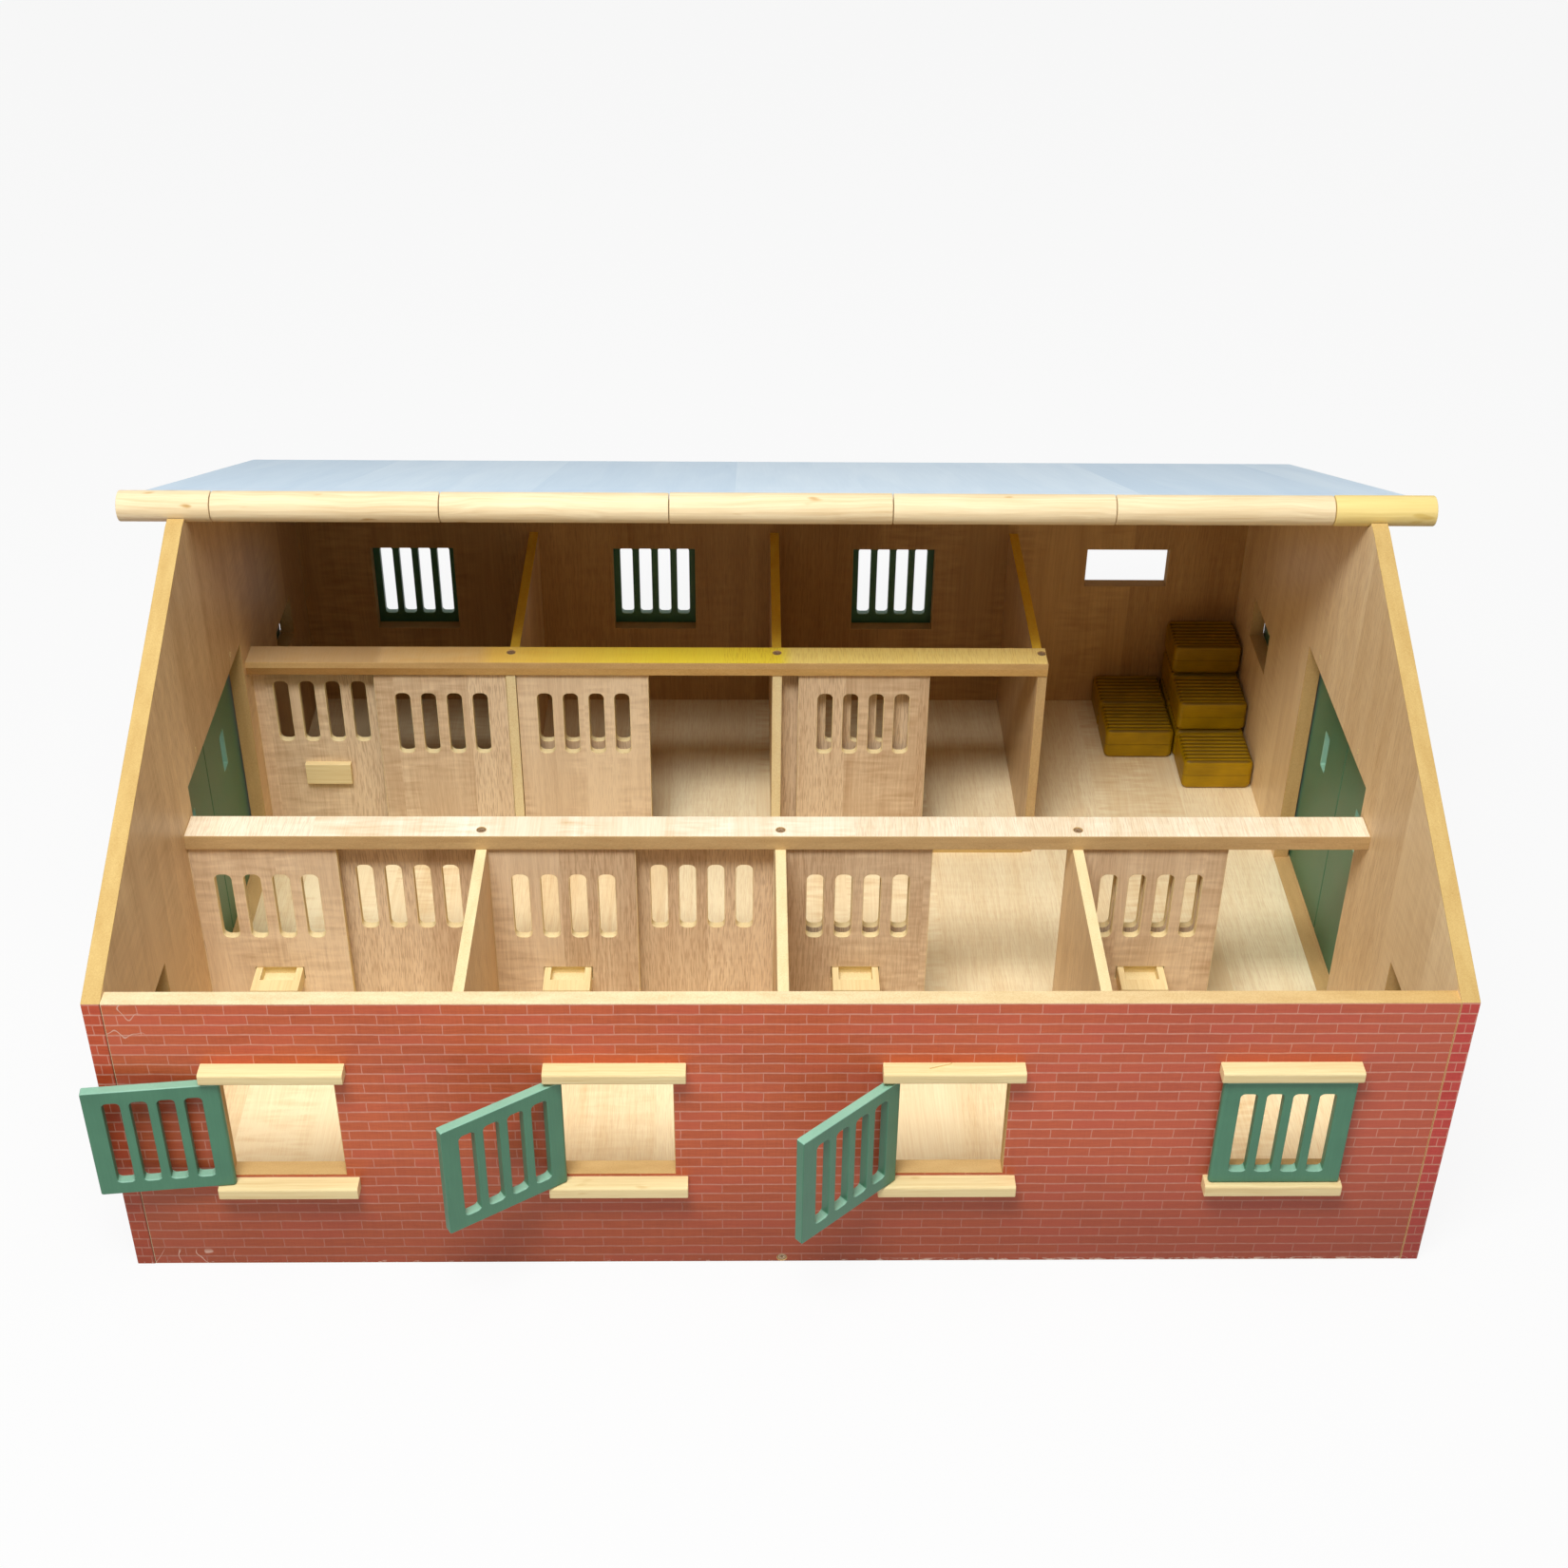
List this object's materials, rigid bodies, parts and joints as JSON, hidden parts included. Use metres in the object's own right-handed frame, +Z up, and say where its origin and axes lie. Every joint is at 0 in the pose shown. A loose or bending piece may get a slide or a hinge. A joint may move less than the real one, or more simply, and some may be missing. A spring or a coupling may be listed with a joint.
{
  "type": "toy barn with opening doors",
  "caption": "Open-fronted wooden toy horse barn with brick walls, sliding stall doors along an aisle, barred hinged shutters, double side doors and a half roof.",
  "frame": {"origin": "centre of the underside of the walls and floor, on the surface the barn stands on", "axes": "+X to the right as seen from the open front, +Y to the back, +Z up"},
  "size_m": [0.73, 0.6375, 0.307],
  "materials": {
    "brick_wall": "board with a brick print outside and beech foil inside",
    "beech": "beech foil",
    "trim_wood": "bare pale wood",
    "green_paint": "painted satin",
    "roof_foil": "pale blue-grey foil",
    "steel": "plain",
    "straw": "moulded"
  },
  "bodies": {
    "barn": {"beam_front": "beech", "beam_rear": "beech", "fixed_panel_front_1": "beech", "fixed_panel_front_2": "beech", "fixed_panel_front_3": "beech", "fixed_panel_front_4": "beech", "fixed_panel_rear_1": "beech", "fixed_panel_rear_2": "beech", "fixed_panel_rear_3": "beech", "floor": "beech", "hinge_pins": "steel", "partition_front_1": "beech", "partition_front_2": "beech", "partition_front_3": "beech", "partition_rear_1": "beech", "partition_rear_2": "beech", "partition_rear_3": "beech", "rails_front": "beech", "rails_rear": "beech", "roof_nosing": "trim_wood", "roof_panel": "roof_foil", "sticks_front": "trim_wood", "sticks_left": "trim_wood", "sticks_rear": "trim_wood", "sticks_right": "trim_wood", "troughs_front": "trim_wood", "troughs_rear": "trim_wood", "wall_front": "brick_wall", "wall_left": "brick_wall", "wall_rear": "brick_wall", "wall_right": "brick_wall"},
    "shutter_front_1": {"shutter_front_1": "green_paint"},
    "shutter_front_2": {"shutter_front_2": "green_paint"},
    "shutter_front_3": {"shutter_front_3": "green_paint"},
    "shutter_front_4": {"shutter_front_4": "green_paint"},
    "shutter_left_front": {"shutter_left_front": "green_paint"},
    "shutter_left_rear": {"shutter_left_rear": "green_paint"},
    "shutter_rear_1": {"shutter_rear_1": "green_paint"},
    "shutter_rear_2": {"shutter_rear_2": "green_paint"},
    "shutter_rear_3": {"shutter_rear_3": "green_paint"},
    "shutter_right_front": {"shutter_right_front": "green_paint"},
    "shutter_right_rear": {"shutter_right_rear": "green_paint"},
    "side_door_left_front": {"side_door_left_front": "green_paint"},
    "side_door_left_rear": {"side_door_left_rear": "green_paint"},
    "side_door_right_front": {"side_door_right_front": "green_paint"},
    "side_door_right_rear": {"side_door_right_rear": "green_paint"},
    "stall_door_front_1": {"stall_door_front_1": "beech"},
    "stall_door_front_2": {"stall_door_front_2": "beech"},
    "stall_door_front_3": {"stall_door_front_3": "beech"},
    "stall_door_front_4": {"stall_door_front_4": "beech"},
    "stall_door_rear_1": {"stall_door_rear_1": "beech"},
    "stall_door_rear_2": {"stall_door_rear_2": "beech"},
    "stall_door_rear_3": {"stall_door_rear_3": "beech"},
    "straw_bales_left": {"straw_bales_left": "straw"},
    "straw_bales_right": {"straw_bales_right": "straw"}
  },
  "joints": [
    {"name": "stall_door_front_1_slide", "type": "slide", "parent": "barn", "child": "stall_door_front_1", "axis": [1, 0, 0], "range_m": [-0.077, 0]},
    {"name": "stall_door_front_2_slide", "type": "slide", "parent": "barn", "child": "stall_door_front_2", "axis": [1, 0, 0], "range_m": [-0.077, 0]},
    {"name": "stall_door_front_3_slide", "type": "slide", "parent": "barn", "child": "stall_door_front_3", "axis": [1, 0, 0], "range_m": [0, 0.077]},
    {"name": "stall_door_front_4_slide", "type": "slide", "parent": "barn", "child": "stall_door_front_4", "axis": [1, 0, 0], "range_m": [0, 0.077]},
    {"name": "stall_door_rear_1_slide", "type": "slide", "parent": "barn", "child": "stall_door_rear_1", "axis": [1, 0, 0], "range_m": [-0.077, 0]},
    {"name": "stall_door_rear_2_slide", "type": "slide", "parent": "barn", "child": "stall_door_rear_2", "axis": [1, 0, 0], "range_m": [0, 0.077]},
    {"name": "stall_door_rear_3_slide", "type": "slide", "parent": "barn", "child": "stall_door_rear_3", "axis": [1, 0, 0], "range_m": [-0.0102, 0.0668]},
    {"name": "shutter_front_1_hinge", "type": "hinge", "parent": "barn", "child": "shutter_front_1", "pos_m": [-0.28045, -0.27525, 0.0636], "axis": [0, 0, -1], "range_deg": [-174, 0]},
    {"name": "shutter_front_2_hinge", "type": "hinge", "parent": "barn", "child": "shutter_front_2", "pos_m": [-0.11335, -0.27525, 0.0636], "axis": [0, 0, -1], "range_deg": [-147, 31]},
    {"name": "shutter_front_3_hinge", "type": "hinge", "parent": "barn", "child": "shutter_front_3", "pos_m": [0.05375, -0.27525, 0.0636], "axis": [0, 0, -1], "range_deg": [-138, 40]},
    {"name": "shutter_front_4_hinge", "type": "hinge", "parent": "barn", "child": "shutter_front_4", "pos_m": [0.22085, -0.27525, 0.0636], "axis": [0, 0, -1], "range_deg": [0, 178]},
    {"name": "shutter_rear_1_hinge", "type": "hinge", "parent": "barn", "child": "shutter_rear_1", "pos_m": [-0.22085, 0.27525, 0.0636], "axis": [0, 0, -1], "range_deg": [0, 178]},
    {"name": "shutter_rear_2_hinge", "type": "hinge", "parent": "barn", "child": "shutter_rear_2", "pos_m": [-0.05375, 0.27525, 0.0636], "axis": [0, 0, -1], "range_deg": [0, 178]},
    {"name": "shutter_rear_3_hinge", "type": "hinge", "parent": "barn", "child": "shutter_rear_3", "pos_m": [0.11335, 0.27525, 0.0636], "axis": [0, 0, -1], "range_deg": [0, 178]},
    {"name": "shutter_left_rear_hinge", "type": "hinge", "parent": "barn", "child": "shutter_left_rear", "pos_m": [-0.34115, 0.2188, 0.0871], "axis": [0, 0, -1], "range_deg": [0, 170]},
    {"name": "shutter_left_front_hinge", "type": "hinge", "parent": "barn", "child": "shutter_left_front", "pos_m": [-0.34115, -0.2214, 0.0871], "axis": [0, 0, 1], "range_deg": [0, 170]},
    {"name": "shutter_right_front_hinge", "type": "hinge", "parent": "barn", "child": "shutter_right_front", "pos_m": [0.34115, -0.2214, 0.0871], "axis": [0, 0, -1], "range_deg": [0, 170]},
    {"name": "shutter_right_rear_hinge", "type": "hinge", "parent": "barn", "child": "shutter_right_rear", "pos_m": [0.34115, 0.2188, 0.0871], "axis": [0, 0, 1], "range_deg": [0, 170]},
    {"name": "side_door_left_rear_hinge", "type": "hinge", "parent": "barn", "child": "side_door_left_rear", "pos_m": [-0.34115, 0.0769, 0.0055], "axis": [0, 0, -1], "range_deg": [0, 178]},
    {"name": "side_door_left_front_hinge", "type": "hinge", "parent": "barn", "child": "side_door_left_front", "pos_m": [-0.34115, -0.0795, 0.0055], "axis": [0, 0, 1], "range_deg": [0, 178]},
    {"name": "side_door_right_front_hinge", "type": "hinge", "parent": "barn", "child": "side_door_right_front", "pos_m": [0.34115, -0.0795, 0.0055], "axis": [0, 0, -1], "range_deg": [0, 178]},
    {"name": "side_door_right_rear_hinge", "type": "hinge", "parent": "barn", "child": "side_door_right_rear", "pos_m": [0.34115, 0.0769, 0.0055], "axis": [0, 0, 1], "range_deg": [0, 178]},
    {"name": "straw_bales_left_slide", "type": "slide", "parent": "barn", "child": "straw_bales_left", "axis": [0, -1, 0], "range_m": [0, 0.06]},
    {"name": "straw_bales_right_slide", "type": "slide", "parent": "barn", "child": "straw_bales_right", "axis": [0, -1, 0], "range_m": [0, 0.06]}
  ]
}
